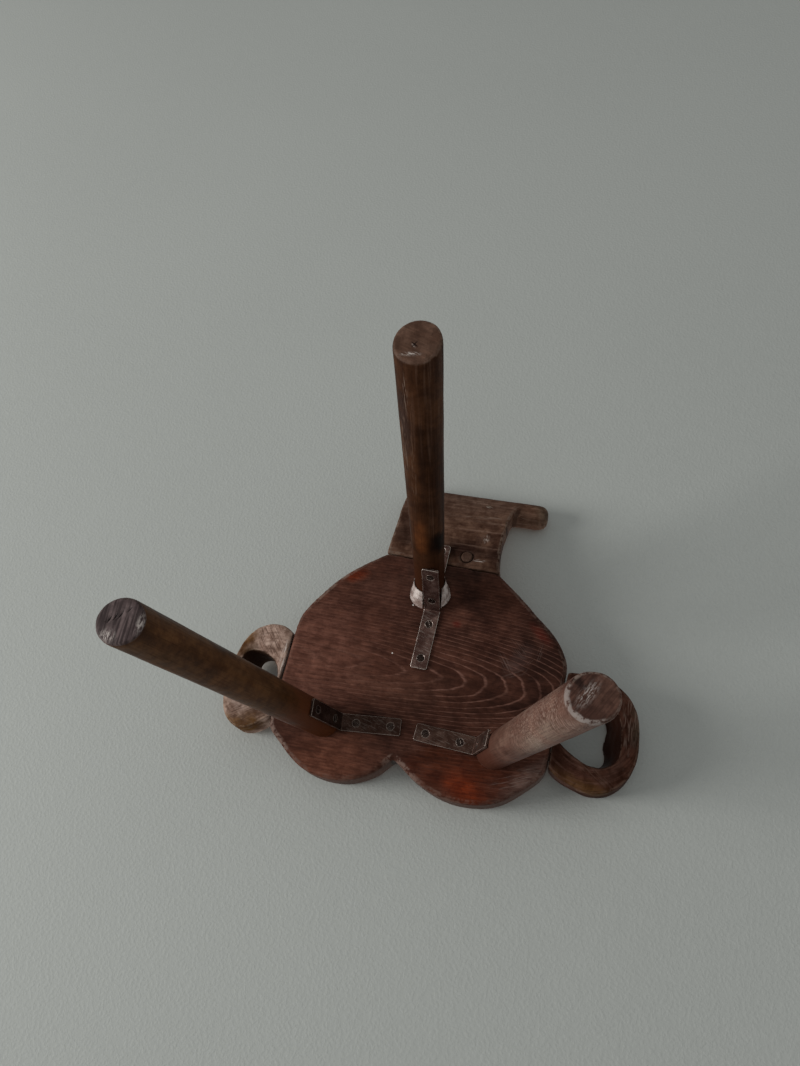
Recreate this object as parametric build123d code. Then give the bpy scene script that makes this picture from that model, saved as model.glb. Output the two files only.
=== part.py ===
from build123d import *
import os
from math import atan2, cos, hypot, radians, sin

os.makedirs("parts", exist_ok=True)

# Seat board: a heart-shaped plank, its lobes at the front and its narrow neck at the back
leg_height = 362.0
seat_half_width = 182.0
neck_from_cusp = 256.0
lobe_overhang = 43.5
neck_half_width = 78.2
neck_shift = -1.3
neck_turn = 2.6
seat_thickness = 44.0
seat_low_thickness = 26.0
seat_low_from_neck = 66.0
dish_radius = 420.0
dish_depth = 5.0
dish_from_neck = 130.0
seat_top_round = 5.0
seat_edge_bevel = 4.0

# Its hand-cut outline: shares of the half width, and of the neck's or the lobes' distance from the cusp
shoulder_left_shares = [(0.610, 0.887), (0.774, 0.784), (0.909, 0.692), (0.974, 0.617)]
shoulder_right_shares = [(0.591, 0.927), (0.724, 0.840), (0.834, 0.736), (0.912, 0.650)]
side_back_left_share = (1.0, 0.539)
side_back_right_share = (0.953, 0.523)
side_front_left_share = (0.959, 0.086)
side_front_right_share = (0.962, 0.062)
lobe_left_shares = [(0.879, 0.069), (0.687, 0.713), (0.484, 0.926), (0.286, 0.851), (0.110, 0.552)]
lobe_right_shares = [(0.879, 0.184), (0.681, 0.793), (0.484, 1.0), (0.286, 0.885), (0.137, 0.529)]
cusp_share = (0.044, 0.115)

# Tenon of the seat in the back, and its two draw pins
back_tenon_width = 84.0
back_tenon_thickness = 11.0
back_tenon_length = 36.0
back_tenon_rise = 8.0
pin_diameter = 14.0
pin_spacing = 60.0
pin_from_neck = 16.0

# Curved back with a roll along its top and a knob at the left end
back_turn = 1.0
back_bend_radius = 187.0
back_bend_angle = 43.8
roll_radius = 18.0
roll_crown_angle = 150.0
knob_reach = 122.0
knob_round = 13.0
back_waist_half_width = 72.5
back_plain_half_width = 77.5
back_end_half_width = 80.0
back_flare_half_width = 92.0
back_waist_share = 0.55
back_top_shares = [(0.25, 0.02), (0.49, 0.23), (0.70, 0.50), (0.89, 0.77)]

# Carved loops at the sides: shares of each loop's reach and of the loops' length
loop_left_reach = 94.5
loop_right_reach = 65.0
loop_length = 145.0
loop_height = 50.0
loop_root = 16.0
loop_top_round = 12.0
loop_bottom_round = 3.5
loop_left_shares = [(0.085, 0.969), (0.423, 0.962), (0.720, 0.890), (0.921, 0.738), (1.0, 0.497),
                    (0.963, 0.248), (0.772, 0.066), (0.497, 0.0), (0.222, 0.034), (-0.042, 0.117)]
loop_right_shares = [(0.092, 0.950), (0.350, 0.952), (0.640, 0.893), (0.862, 0.752), (0.972, 0.556),
                     (1.0, 0.370), (0.955, 0.196), (0.775, 0.032), (0.530, -0.030), (0.310, -0.020),
                     (0.030, 0.065)]
hole_left_low_shares = [(0.063, 0.359), (0.317, 0.252), (0.561, 0.217), (0.741, 0.297), (0.762, 0.448),
                        (0.709, 0.634), (0.529, 0.759), (0.265, 0.772), (0.085, 0.669), (0.037, 0.510)]
hole_left_high_shares = [(0.074, 0.372), (0.296, 0.290), (0.487, 0.255), (0.593, 0.317), (0.561, 0.428),
                         (0.582, 0.586), (0.466, 0.710), (0.265, 0.731), (0.106, 0.648), (0.053, 0.510)]
hole_right_low_shares = [(-0.016, 0.465), (0.199, 0.624), (0.461, 0.662), (0.692, 0.645), (0.776, 0.566),
                         (0.745, 0.383), (0.599, 0.265), (0.353, 0.231), (0.107, 0.286)]
hole_right_high_shares = [(0.015, 0.465), (0.199, 0.617), (0.384, 0.669), (0.525, 0.641), (0.576, 0.531),
                          (0.553, 0.383), (0.445, 0.300), (0.307, 0.272), (0.122, 0.327)]
loop_dowel_diameter = 10.0
loop_dowel_length = 34.0
loop_dowel_rise = 15.0
left_dowel_shares = [0.24, 0.83]
right_dowel_shares = [0.15, 0.79]

# Legs, round and splayed, thicker at the foot: places where their axes meet the seat and the floor
left_leg_across = 109.9
left_leg_from_cusp = 24.6
left_foot_across = 210.5
left_foot_from_cusp = 19.1
right_leg_across = 103.0
right_leg_from_cusp = 23.1
right_foot_across = 206.0
right_foot_from_cusp = 13.5
back_leg_across = 5.0
back_leg_from_neck = 45.6
back_foot_across = 1.4
back_foot_from_neck = 87.0
front_leg_top_diameter = 41.0
back_leg_top_diameter = 38.0
left_foot_diameter = 44.0
right_foot_diameter = 47.5
back_foot_diameter = 52.0
foot_bevel = 2.0
tenon_diameter = 28.0
wedge_depth = 15.0
wedge_top_thickness = 4.0
wedge_tip_thickness = 1.2
wedge_width = 22.0

# Corner brackets, set a little beside the legs' axes, and their screws
bracket_arm = 76.0
bracket_back_arm = 80.0
bracket_outer_arm = 50.0
bracket_width = 21.0
bracket_thickness = 2.5
bracket_bend_radius = 1.5
bracket_corner_radius = 2.5
bracket_left_offset = 2.0
bracket_right_offset = -1.0
bracket_back_offset = -7.5
bracket_outer_offset = 1.5
bracket_hole_shares = [0.26, 0.83]
screw_head_diameter = 9.6
screw_shank_diameter = 4.4
screw_length = 16.0
screw_tip_length = 4.0
screw_slot_width = 1.3
screw_slot_depth = 1.2

# Filler round the back leg's joint
collar_diameter = 56.0
collar_height = 27.0
collar_lip = 1.6

# Clearances, and the overrun of cutting bodies
fit_gap = 0.3
surface_gap = 0.25
kerf_gap = 0.1
overrun = 20.0

seat_low_from_front = neck_from_cusp + lobe_overhang - seat_low_from_neck
seat_top_curve = (seat_thickness - seat_low_thickness) / seat_low_from_front ** 2
neck_frame = Pos(neck_shift, neck_from_cusp, leg_height) * Rot(0, 0, neck_turn)
back_frame = Pos(neck_shift, neck_from_cusp, leg_height) * Rot(0, 0, back_turn)


def seat_top(y):
    """Height of the seat's upper face above its underside, before the dish."""
    return seat_low_thickness + seat_top_curve * (y - neck_from_cusp + seat_low_from_neck) ** 2


def neck_corner(side):
    """One end of the line where the seat meets the back."""
    corner = neck_frame * Pos(side * neck_half_width, 0, 0)
    return (corner.position.X, corner.position.Y)


def outline_half(side, shoulder_table, side_back, side_front, lobe_table, cusp):
    """Half of the seat's outline, from the neck to the cusp."""
    shoulder = [neck_corner(side)]
    for across, back in shoulder_table + [side_back]:
        shoulder.append((side * across * seat_half_width, back * neck_from_cusp))
    lobe = [(side * side_front[0] * seat_half_width, side_front[1] * neck_from_cusp)]
    for across, ahead in lobe_table:
        lobe.append((side * across * seat_half_width, -ahead * lobe_overhang))
    lobe.append(cusp)
    straight = Line(shoulder[-1], lobe[0])
    along = straight % 0
    start = Vector(*shoulder[1]) - Vector(*shoulder[0])
    end = Vector(*lobe[-1]) - Vector(*lobe[-2])
    return [Spline(*shoulder, tangents=[start, along]), straight, Spline(*lobe, tangents=[along, end])]


def seat_outline():
    """The heart outline as a face on the underside."""
    cusp = (cusp_share[0] * seat_half_width, -cusp_share[1] * lobe_overhang)
    left = outline_half(-1, shoulder_left_shares, side_back_left_share, side_front_left_share,
                        lobe_left_shares, cusp)
    right = outline_half(1, shoulder_right_shares, side_back_right_share, side_front_right_share,
                         lobe_right_shares, cusp)
    neck = Line(neck_corner(-1), neck_corner(1))
    return Pos(0, 0, leg_height) * make_face(Curve() + [neck] + right + left)


def match_edges(solid, wanted):
    """The edges of a solid that lie where the wanted edges lay."""
    return [edge for edge in solid.edges()
            if any((edge @ 0.5 - old @ 0.5).length < fit_gap for old in wanted)]


def make_seat_blank():
    """The carved board, before its tenon, mortises and holes."""
    board = extrude(seat_outline(), seat_thickness + overrun)
    front = -lobe_overhang - overrun
    back = neck_from_cusp + overrun
    crest = []
    for share in (0, 0.2, 0.4, 0.6, 0.8, 1):
        y = front + share * (back - front)
        crest.append((y, leg_height + seat_top(y)))
    above = leg_height + 2 * seat_thickness + overrun
    sky = Polyline(crest[-1], (back, above), (front, above), crest[0])
    cutter = Plane.YZ * make_face(Curve() + [Spline(*crest), sky])
    board -= extrude(cutter, seat_half_width + overrun, both=True)

    walls = [face for face in board.faces() if abs(face.normal_at().Z) < sin(radians(45))]
    rim = []
    for edge in board.edges():
        middle = edge @ 0.5
        level = abs(edge.tangent_at(0.5).Z) < sin(radians(45))
        ahead = (neck_frame.inverse() * Pos(middle)).position.Y < -fit_gap
        if level and ahead and any(wall.distance_to(middle) < fit_gap for wall in walls):
            rim.append(edge)
    top_rim = [edge for edge in rim if (edge @ 0.5).Z > leg_height + seat_edge_bevel]
    low_rim = [edge for edge in rim if (edge @ 0.5).Z < leg_height + seat_edge_bevel]
    board = chamfer(low_rim, seat_edge_bevel)
    board = fillet(match_edges(board, top_rim), seat_top_round)

    dish_y = neck_from_cusp - dish_from_neck
    bottom = leg_height + seat_top(dish_y) - dish_depth
    return board - Pos(0, dish_y, bottom + dish_radius) * Sphere(dish_radius)


class Leg:
    """Places of one leg: where its axis meets the seat's underside and the floor."""

    def __init__(self, base, foot, top_diameter, foot_diameter):
        self.base = Vector(base[0], base[1], leg_height)
        self.foot = Vector(foot[0], foot[1], 0)
        self.top_radius = top_diameter / 2
        self.foot_radius = foot_diameter / 2
        self.axis = (self.base - self.foot).normalized()
        self.length = (self.base - self.foot).length
        self.outward = Vector(foot[0] - base[0], foot[1] - base[1], 0).normalized()
        self.splay = atan2(hypot(foot[0] - base[0], foot[1] - base[1]), leg_height)
        self.flare = (self.foot_radius - self.top_radius) / self.length
        across = self.outward.cross(Vector(0, 0, 1))
        self.base_plane = Plane(origin=self.base, x_dir=across, z_dir=self.axis)
        self.foot_plane = Plane(origin=self.foot, x_dir=across, z_dir=self.axis)


left_leg = Leg((-left_leg_across, left_leg_from_cusp), (-left_foot_across, left_foot_from_cusp),
               front_leg_top_diameter, left_foot_diameter)
right_leg = Leg((right_leg_across, right_leg_from_cusp), (right_foot_across, right_foot_from_cusp),
                front_leg_top_diameter, right_foot_diameter)
back_leg = Leg((back_leg_across, neck_from_cusp - back_leg_from_neck),
               (back_foot_across, neck_from_cusp + back_foot_from_neck),
               back_leg_top_diameter, back_foot_diameter)
legs = [left_leg, right_leg, back_leg]


def upright(shape, *size):
    """A round or square solid that stands on the origin."""
    return shape(*size, align=(Align.CENTER, Align.CENTER, Align.MIN))


def leg_cone(leg, grow):
    """The leg's tapered round body, grown by a clearance and running past both ends."""
    low = leg.foot_radius + grow + leg.flare * overrun
    high = leg.top_radius + grow - leg.flare * overrun
    return leg.foot_plane * Pos(0, 0, -overrun) * upright(Cone, low, high, leg.length + 2 * overrun)


def tenon_rod(leg, grow):
    """The round tenon on the leg's axis, from inside the leg to above the seat."""
    start = leg.top_radius + grow
    rod = upright(Cylinder, tenon_diameter / 2 + grow, start + 2 * seat_thickness + overrun)
    return leg.base_plane * Pos(0, 0, -start) * rod


def wedge_blade(leg, grow):
    """A tapered wedge driven into the tenon's end across the seat's grain, standing above the seat."""
    top = seat_top(leg.base.Y) / cos(leg.splay)
    slope = (wedge_top_thickness - wedge_tip_thickness) / 2 / wedge_depth
    tip = wedge_tip_thickness / 2 + grow
    far = wedge_top_thickness / 2 + grow + slope * overrun
    low = top - wedge_depth - grow
    high = top + overrun
    side = Polyline((-tip, low), (tip, low), (far, high), (-far, high), close=True)
    blade = extrude(make_face(side), wedge_width / 2 + grow, both=True)
    along_grain = Vector(0, 1, 0).cross(leg.axis)
    return Plane(origin=leg.base, x_dir=along_grain, z_dir=along_grain.cross(leg.axis)) * blade


def below_seat():
    """A wide slab between the floor and the seat's underside."""
    wide = 4 * (neck_from_cusp + lobe_overhang)
    return upright(Box, wide, wide, leg_height)


def make_leg(leg, seat_blank):
    """A splayed leg cut level at floor and seat, with its bevelled foot and wedged tenon."""
    body = leg_cone(leg, 0) & below_seat()
    body = chamfer(body.edges().sort_by(Axis.Z)[0], foot_bevel)
    tenon = tenon_rod(leg, 0) & seat_blank
    return body + tenon - wedge_blade(leg, kerf_gap)


class Bracket:
    """Places of one bent steel bracket between a leg and the seat's underside."""

    def __init__(self, leg, side, arm, offset):
        self.arm = arm
        tilt = leg.splay * side
        axis = Vector(-sin(tilt), cos(tilt))
        normal = Vector(cos(tilt), sin(tilt))
        start = -leg.top_radius * normal.Y / (axis.Y + leg.flare * normal.Y)
        contact = axis * start + normal * (leg.top_radius + start * leg.flare)
        self.down = (axis + normal * leg.flare).normalized()
        self.off = Vector(self.down.Y, -self.down.X)
        self.corner = Vector(contact.X + surface_gap / self.off.X, 0)
        toward = leg.outward * -side
        beside = toward.cross(Vector(0, 0, -1))
        self.plane = Plane(origin=leg.base + beside * offset, x_dir=toward, z_dir=beside)

    def screws(self):
        """Plane of each screw: its head at the origin, its shank along -Z."""
        planes = []
        for share in bracket_hole_shares:
            along = share * self.arm
            flat = self.corner + Vector(along, bracket_thickness)
            steep = self.corner + self.down * along + self.off * bracket_thickness
            for point, normal in ((flat, Vector(0, 1)), (steep, self.off)):
                origin = self.plane.from_local_coords(point)
                end = self.plane.from_local_coords(point + normal)
                planes.append(Plane(origin=origin, z_dir=end - origin, x_dir=self.plane.z_dir))
        return planes


brackets = {"left": Bracket(left_leg, 1, bracket_arm, bracket_left_offset),
            "right": Bracket(right_leg, 1, bracket_arm, bracket_right_offset),
            "back_inner": Bracket(back_leg, 1, bracket_back_arm, bracket_back_offset),
            "back_outer": Bracket(back_leg, -1, bracket_outer_arm, bracket_outer_offset)}
slot_angles = {"left": (35, 80, 120, 10), "right": (60, 15, 140, 95),
               "back_inner": (120, 75, 40, 160), "back_outer": (20, 70, 110, 50)}


def screw_body(grow):
    """A countersunk screw with its head at the origin and its shank along -Z."""
    shank = screw_shank_diameter / 2 + grow
    head = screw_head_diameter / 2 + grow
    length = screw_length + grow
    outline = Polyline((0, 0), (head, 0), (shank, -bracket_thickness), (shank, screw_tip_length - length),
                       (0, -length), close=True)
    return revolve(Plane.XZ * make_face(outline), Axis.Z)


def make_screws(bracket, angles):
    """The bracket's four slotted screws."""
    screws = []
    for place, angle in zip(bracket.screws(), angles):
        slot = Box(2 * screw_head_diameter, screw_slot_width, 2 * screw_slot_depth)
        screws.append(place * (screw_body(0) - Rot(0, 0, angle) * slot))
    return screws


def make_bracket(bracket):
    """Two flat arms joined by a bend, with countersunk holes."""
    corner, down, off = bracket.corner, bracket.down, bracket.off
    inner_run = bracket_thickness * (1 - off.Y) / down.Y
    inner = corner + off * bracket_thickness + down * inner_run
    far = corner + Vector(bracket.arm, 0)
    foot = corner + down * bracket.arm
    outline = Polyline(corner, far, far + Vector(0, bracket_thickness), inner, foot + off * bracket_thickness,
                       foot, close=True)
    strip = extrude(make_face(outline), bracket_width / 2, both=True)
    for point, radius in ((corner, bracket_bend_radius + bracket_thickness), (inner, bracket_bend_radius)):
        strip = fillet(strip.edges().filter_by(Axis.Z).sort_by_distance(point)[0], radius)
    ends = []
    for edge in strip.edges():
        short = abs(edge.length - bracket_thickness) < kerf_gap
        if short and abs(edge.tangent_at(0.5).Z) < sin(radians(45)):
            ends.append(edge)
    strip = bracket.plane * fillet(ends, bracket_corner_radius)
    for place in bracket.screws():
        strip -= place * screw_body(fit_gap)
    return strip


def roll_centre():
    """Centre of the roll along the back's top, measured from the neck and the seat's underside."""
    bend = radians(back_bend_angle)
    reach = back_bend_radius - roll_radius
    return reach * sin(bend), back_bend_radius - reach * cos(bend)


def back_profile():
    """Side profile of the curved back, from before the neck up to its roll."""
    bend = radians(back_bend_angle)
    turn = radians(roll_crown_angle)
    centre_y, centre_z = roll_centre()
    start = (0, 0)
    before = -overrun
    middle = (back_bend_radius * sin(bend / 2), back_bend_radius * (1 - cos(bend / 2)))
    end = (back_bend_radius * sin(bend), back_bend_radius * (1 - cos(bend)))
    outside = (centre_y + roll_radius, centre_z)
    crown = (centre_y + roll_radius * cos(turn), centre_z + roll_radius * sin(turn))
    top = [(0, seat_top(neck_from_cusp))]
    for along, up in back_top_shares:
        top.append((along * crown[0], top[0][1] + up * (crown[1] - top[0][1])))
    top.append(crown)
    edges = [ThreePointArc(start, middle, end), ThreePointArc(end, outside, crown),
             Spline(*top, tangents=[(1, 0), (sin(turn), -cos(turn))]),
             Polyline(top[0], (before, top[0][1]), (before, 0), start)]
    return Plane.YZ * make_face(edges)


def make_back_blank():
    """The curved back with its roll and knob, before its mortise and holes."""
    centre_y, centre_z = roll_centre()
    board = extrude(back_profile(), back_flare_half_width + overrun, both=True)
    waist_y = back_waist_share * centre_y
    flare_y = centre_y + roll_radius
    end_y = flare_y + overrun
    flare_start = (-back_flare_half_width, flare_y)
    plain_end = (back_end_half_width, centre_y - roll_radius)
    knob_side = Spline((-neck_half_width, 0), (-back_waist_half_width, waist_y), flare_start,
                       tangents=[(0.3, 1), (-1, 0.9)])
    plain_side = Spline((neck_half_width, 0), (back_plain_half_width, waist_y), plain_end)
    far = Polyline(flare_start, (-back_flare_half_width, end_y), (back_end_half_width, end_y), plain_end)
    near = Polyline((-neck_half_width, 0), (-neck_half_width, -overrun), (neck_half_width, -overrun),
                    (neck_half_width, 0))
    plan = make_face(Curve() + [knob_side, plain_side, far, near])
    board &= Pos(0, 0, -overrun) * extrude(plan, back_bend_radius + overrun)
    knob = upright(Cylinder, roll_radius, knob_reach)
    knob = fillet(knob.edges().filter_by(GeomType.CIRCLE).sort_by(Axis.Z)[-1], knob_round)
    back = back_frame * (board + Pos(0, centre_y, centre_z) * Rot(0, -90, 0) * knob)
    reach = 4 * neck_half_width
    return back - neck_frame * Box(reach, reach, reach, align=(Align.CENTER, Align.MAX, Align.CENTER))


def back_tenon(grow):
    """The flat tenon that the seat's neck sends into the back."""
    tongue = Box(back_tenon_width + 2 * grow, back_tenon_length + grow + overrun,
                 back_tenon_thickness + 2 * grow, align=(Align.CENTER, Align.MAX, Align.MIN))
    return neck_frame * Pos(0, back_tenon_length + grow, back_tenon_rise - grow) * tongue


def draw_pins(grow):
    """The two round pins through back and tenon."""
    pins = []
    for side in (-1, 1):
        pin = Cylinder(pin_diameter / 2 + grow, 2 * seat_thickness + overrun)
        pins.append(neck_frame * Pos(side * pin_spacing / 2, pin_from_neck, seat_thickness / 2) * pin)
    return pins


def loop_points(table, side, reach):
    """Points of a loop from its shares of reach and length."""
    return [(side * (seat_half_width + across * reach), back * loop_length) for across, back in table]


def level_edges(solid, height):
    """The edges of a solid that lie level at a height above the seat's underside."""
    return [edge for edge in solid.edges()
            if all(abs((edge @ share).Z - leg_height - height) < fit_gap for share in (0.2, 0.5, 0.8))]


def make_loop_blank(side, reach, outline_table, low_table, high_table):
    """A carved ring against the seat's edge, open in the middle."""
    outer = loop_points(outline_table, side, reach)
    inside = side * (seat_half_width - loop_root)
    root = [(inside, outer[-1][1] + loop_root), (inside, outer[0][1] - loop_root)]
    rim = Spline(*outer, *root, periodic=True)
    ring = extrude(Pos(0, 0, leg_height) * make_face(rim), loop_height)
    ring = fillet(level_edges(ring, loop_height), loop_top_round)
    ring = fillet(level_edges(ring, 0), loop_bottom_round)
    faces = []
    for table, height in ((low_table, 0), (high_table, loop_height)):
        wire = Spline(*loop_points(table, side, reach), periodic=True)
        faces.append(Pos(0, 0, leg_height + height) * make_face(wire))
    ring -= loft(faces)
    ring -= Pos(side * surface_gap, 0, -overrun) * extrude(seat_outline(), loop_height + 2 * overrun)
    return ring.solids().sort_by(SortBy.VOLUME)[-1]


def loop_dowels(side, grow):
    """The dowels between a loop and the seat's edge."""
    rods = []
    for share in left_dowel_shares if side < 0 else right_dowel_shares:
        rod = Cylinder(loop_dowel_diameter / 2 + grow, loop_dowel_length + 2 * grow)
        place = Pos(side * seat_half_width, share * loop_length, leg_height + loop_dowel_rise)
        rods.append(place * Rot(0, 90, 0) * rod)
    return rods


def make_collar():
    """Hard filler on both sides of the back leg's joint, between its brackets."""
    ring = upright(Cone, collar_diameter / 2, back_leg.top_radius + collar_lip, collar_height)
    plane = Plane(origin=back_leg.base, x_dir=back_leg.base_plane.x_dir, z_dir=back_leg.axis * -1)
    ring = plane * ring & below_seat()
    ring -= leg_cone(back_leg, surface_gap)
    for bracket in (brackets["back_inner"], brackets["back_outer"]):
        lane = Box(2 * bracket.arm, 2 * bracket.arm, bracket_width + 2 * surface_gap,
                   align=(Align.MIN, Align.CENTER, Align.CENTER))
        ring -= bracket.plane * lane
    return ring


def cut_all(solid, tools):
    """A solid with several cuts."""
    for tool in tools:
        solid -= tool
    return solid


screw_holes = [place * screw_body(fit_gap) for bracket in brackets.values() for place in bracket.screws()]
seat_blank = make_seat_blank()
back_blank = make_back_blank()
left_loop = make_loop_blank(-1, loop_left_reach, loop_left_shares, hole_left_low_shares,
                            hole_left_high_shares)
right_loop = make_loop_blank(1, loop_right_reach, loop_right_shares, hole_right_low_shares,
                             hole_right_high_shares)

seat_holes = [tenon_rod(leg, fit_gap) for leg in legs] + loop_dowels(-1, fit_gap) + loop_dowels(1, fit_gap)
parts = {
    "seat_board": cut_all(seat_blank + back_tenon(0), seat_holes + draw_pins(fit_gap) + screw_holes),
    "curved_back": cut_all(back_blank - back_tenon(fit_gap), draw_pins(fit_gap) + screw_holes),
    "back_pins": [pin & back_blank for pin in draw_pins(0)],
    "loop_left": cut_all(left_loop, loop_dowels(-1, fit_gap)),
    "loop_right": cut_all(right_loop, loop_dowels(1, fit_gap)),
    "loop_dowels_left": loop_dowels(-1, 0),
    "loop_dowels_right": loop_dowels(1, 0),
    "leg_left": cut_all(make_leg(left_leg, seat_blank), screw_holes),
    "leg_right": cut_all(make_leg(right_leg, seat_blank), screw_holes),
    "leg_back": cut_all(make_leg(back_leg, seat_blank), screw_holes),
    "leg_wedges": [wedge_blade(leg, 0) & seat_blank for leg in legs],
    "filler_collar": make_collar(),
}
for name, bracket in brackets.items():
    parts["bracket_" + name] = make_bracket(bracket)
    parts["screws_" + name] = make_screws(bracket, slot_angles[name])

# The origin lies under the middle of the whole stool, on the floor
nodes = {}
for name, shape in parts.items():
    solids = shape if isinstance(shape, list) else [shape]
    nodes[name] = Compound([body for solid in solids for body in solid.solids()])
whole = Compound(list(nodes.values())).bounding_box()
shift = Pos(-whole.center().X, -whole.center().Y, 0)
for name, node in nodes.items():
    export_step(node.moved(shift), os.path.join("parts", name + ".step"))
print("overall", whole.size, "moved by", shift.position)
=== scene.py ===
import bpy
import numpy as np
from mathutils import Matrix, Vector, noise


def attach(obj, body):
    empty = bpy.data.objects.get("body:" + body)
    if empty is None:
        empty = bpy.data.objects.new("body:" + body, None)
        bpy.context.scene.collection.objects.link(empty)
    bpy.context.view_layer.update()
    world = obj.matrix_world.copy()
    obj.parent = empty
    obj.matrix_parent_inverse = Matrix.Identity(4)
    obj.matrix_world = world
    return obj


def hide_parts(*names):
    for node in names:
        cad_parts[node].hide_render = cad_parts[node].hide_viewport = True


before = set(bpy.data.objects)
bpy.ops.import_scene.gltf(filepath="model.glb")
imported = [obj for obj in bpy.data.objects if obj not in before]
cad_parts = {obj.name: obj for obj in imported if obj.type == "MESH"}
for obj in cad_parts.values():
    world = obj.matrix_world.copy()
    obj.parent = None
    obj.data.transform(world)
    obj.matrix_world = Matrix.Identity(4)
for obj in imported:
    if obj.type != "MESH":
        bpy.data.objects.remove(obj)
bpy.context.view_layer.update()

MM = 0.001


# The photograph's camera, fitted to the seat, the feet and the floor. It stands below the upright stool and
# looks up at its underside
camera_place = (-0.18141, -0.33008, -0.67531)
camera_right = (-0.9653, 0.2137, 0.1504)
camera_up = (0.1333, 0.8976, -0.4202)
image_width = 800
image_height = 1066
focal_pixels = 852.04
sensor_width = 36.0
nearest_seen = 0.01
farthest_seen = 50.0


def make_camera():
    right = Vector(camera_right).normalized()
    back = right.cross(Vector(camera_up)).normalized()
    up = back.cross(right)
    data = bpy.data.cameras.new("camera")
    data.sensor_fit = "AUTO"
    data.sensor_width = sensor_width
    data.lens = focal_pixels * sensor_width / max(image_width, image_height)
    data.clip_start = nearest_seen
    data.clip_end = farthest_seen
    camera = bpy.data.objects.new("camera", data)
    turn = Matrix((right, up, back)).transposed()
    camera.matrix_world = Matrix.Translation(camera_place) @ turn.to_4x4()
    bpy.context.scene.collection.objects.link(camera)
    bpy.context.scene.camera = camera


make_camera()


# A spot's edge moves in and out by this share of its size where a noise warps it
spot_warp = 1.6
# A wall is inner where it faces the middle: it starts to count at the first cosine and counts in full at the
# second. It stops counting between this share of the reach and the whole of it
inner_facing = (0.15, 0.6)
inner_fade = 0.85
# Coordinates along a direction within this sine of straight up take their side from Y instead of from Z
steep = 0.2


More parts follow.
